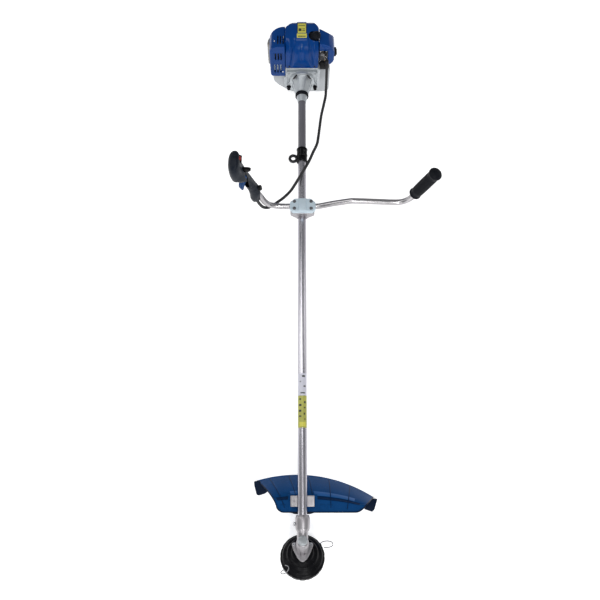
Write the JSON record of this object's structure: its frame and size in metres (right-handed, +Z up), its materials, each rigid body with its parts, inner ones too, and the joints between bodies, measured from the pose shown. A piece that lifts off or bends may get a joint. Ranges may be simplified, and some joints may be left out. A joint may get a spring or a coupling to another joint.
{
  "type": "brush cutter",
  "caption": "Petrol brush cutter with a straight shaft, bicycle handlebar, rear engine, angled gear head, line head and curved guard.",
  "frame": {"origin": "on the surface the machine lies on, under the middle of its bounding box", "axes": "+Y along the shaft from the line head to the engine, +X towards the operator's left grip, +Z up from the surface"},
  "size_m": [0.615, 1.8427, 0.4438],
  "materials": {
    "bright_tube": "bright drawn tube",
    "cast_aluminium": "fine cast, lightly blasted",
    "steel": "machined",
    "muffler_steel": "dull grey steel sheet",
    "bronze": "sintered",
    "rubber": "matt",
    "black_plastic": "fine moulded texture",
    "blue_plastic": "glossy moulded",
    "guard_plastic": "satin moulded",
    "red_plastic": "moulded",
    "tank_plastic": "translucent white, dull",
    "cable_sleeve": "corrugated",
    "nylon_line": "drawn nylon",
    "foam": "open-cell foam"
  },
  "bodies": {
    "root": {"shaft_tube": "bright_tube", "shaft_bush": "bronze", "shaft_collar": "rubber", "harness_clamp": "black_plastic", "bracket_base": "cast_aluminium", "bracket_middle": "cast_aluminium", "bracket_cap": "cast_aluminium", "left_bar": "bright_tube", "right_bar": "bright_tube", "right_grip": "rubber", "throttle_shell_front": "black_plastic", "throttle_shell_rear": "black_plastic", "throttle_cable": "cable_sleeve", "guard": "guard_plastic", "guard_clamp": "cast_aluminium", "gearcase": "cast_aluminium", "output_bearing": "steel", "clutch_housing": "cast_aluminium", "drum_bearing": "steel", "piston": "cast_aluminium", "connecting_rod": "steel", "fan_housing": "cast_aluminium", "crankcase": "cast_aluminium", "cylinder": "cast_aluminium", "spark_plug": "steel", "plug_boot": "rubber", "cylinder_cover": "blue_plastic", "muffler": "muffler_steel", "muffler_cover": "blue_plastic", "carburettor": "cast_aluminium", "filter_backplate": "black_plastic", "filter_foam": "foam", "filter_cover": "blue_plastic", "starter_housing": "black_plastic", "fuel_tank": "tank_plastic", "tank_stand": "black_plastic"},
    "drive_line": {"drive_shaft": "steel", "clutch_drum": "steel", "pinion": "steel"},
    "cutter": {"output_shaft": "steel", "output_gear": "steel", "line_head": "black_plastic", "line_left": "nylon_line", "line_right": "nylon_line"},
    "bump_feed": {"bump_knob": "black_plastic", "line_spool": "black_plastic"},
    "crank": {"crankshaft": "steel", "flywheel": "cast_aluminium", "clutch_hub": "steel"},
    "upper_shoe": {"clutch_shoe_upper": "steel"},
    "lower_shoe": {"clutch_shoe_lower": "steel"},
    "trigger": {"trigger": "blue_plastic"},
    "lockout": {"lockout_lever": "black_plastic"},
    "stop_slider": {"stop_switch": "red_plastic"},
    "carb_lever": {"carb_throttle_lever": "steel"},
    "choke": {"choke_lever": "black_plastic"},
    "primer": {"primer_bulb": "rubber"},
    "fuel_cap": {"tank_cap": "black_plastic"},
    "knob": {"filter_knob": "black_plastic"},
    "pull_handle": {"starter_grip": "black_plastic"}
  },
  "joints": [
    {"name": "drive_spin", "type": "hinge", "parent": "root", "child": "drive_line", "pos_m": [-0.0995, -0.1321, 0.125], "axis": [0, 1, 0], "continuous": true},
    {"name": "head_spin", "type": "hinge", "parent": "root", "child": "cutter", "pos_m": [-0.0995, -0.8306, 0.125], "axis": [0, 0.5, 0.866], "continuous": true},
    {"name": "bump_slide", "type": "slide", "parent": "cutter", "child": "bump_feed", "axis": [0, 0.5, 0.866], "range_m": [0, 0.006], "stiffness_N_per_m": 900, "springref_m": -0.004},
    {"name": "crank_spin", "type": "hinge", "parent": "root", "child": "crank", "pos_m": [-0.0995, 0.7679, 0.125], "axis": [0, 1, 0], "continuous": true},
    {"name": "upper_shoe_slide", "type": "slide", "parent": "crank", "child": "upper_shoe", "axis": [0, 0, 1], "range_m": [0, 0.0009], "stiffness_N_per_m": 6000, "springref_m": -0.001},
    {"name": "lower_shoe_slide", "type": "slide", "parent": "crank", "child": "lower_shoe", "axis": [0, 0, -1], "range_m": [0, 0.0009], "stiffness_N_per_m": 6000, "springref_m": -0.001},
    {"name": "trigger_pull", "type": "hinge", "parent": "root", "child": "trigger", "pos_m": [-0.266, 0.1629, 0.365], "axis": [0.7071, -0.7071, 0], "range_deg": [0, 20], "stiffness_Nm_per_rad": 0.5, "springref_deg": -11.46},
    {"name": "throttle_turn", "type": "hinge", "parent": "root", "child": "carb_lever", "pos_m": [-0.0305, 0.7359, 0.218], "axis": [0, 1, 0], "range_deg": [0, 60]},
    {"name": "lockout_press", "type": "hinge", "parent": "root", "child": "lockout", "pos_m": [-0.266, 0.1719, 0.385], "axis": [0, 1, 0], "range_deg": [0, 12], "stiffness_Nm_per_rad": 0.2, "springref_deg": -17.19},
    {"name": "stop_slide", "type": "slide", "parent": "root", "child": "stop_slider", "axis": [0, 1, 0], "range_m": [-0.003, 0]},
    {"name": "choke_turn", "type": "hinge", "parent": "root", "child": "choke", "pos_m": [-0.0255, 0.7509, 0.2378], "axis": [0, 0, -1], "range_deg": [0, 40]},
    {"name": "primer_press", "type": "slide", "parent": "root", "child": "primer", "axis": [0, 0, 1], "range_m": [0, 0.004], "stiffness_N_per_m": 500, "springref_m": -0.002},
    {"name": "cap_unscrew", "type": "hinge", "parent": "root", "child": "fuel_cap", "pos_m": [-0.1845, 0.9129, 0.095], "axis": [0, 1, 0], "range_deg": [0, 540]},
    {"name": "knob_unscrew", "type": "hinge", "parent": "root", "child": "knob", "pos_m": [0.0155, 0.7529, 0.213], "axis": [1, 0, 0], "range_deg": [0, 720]},
    {"name": "starter_pull", "type": "slide", "parent": "root", "child": "pull_handle", "axis": [1, 0, 0], "range_m": [0, 0.055], "stiffness_N_per_m": 100, "springref_m": -0.05}
  ],
  "couplings": [
    {"joint": "head_spin", "follows": "drive_spin", "ratio": -0.73684},
    {"joint": "throttle_turn", "follows": "trigger_pull", "ratio": 2.9}
  ]
}
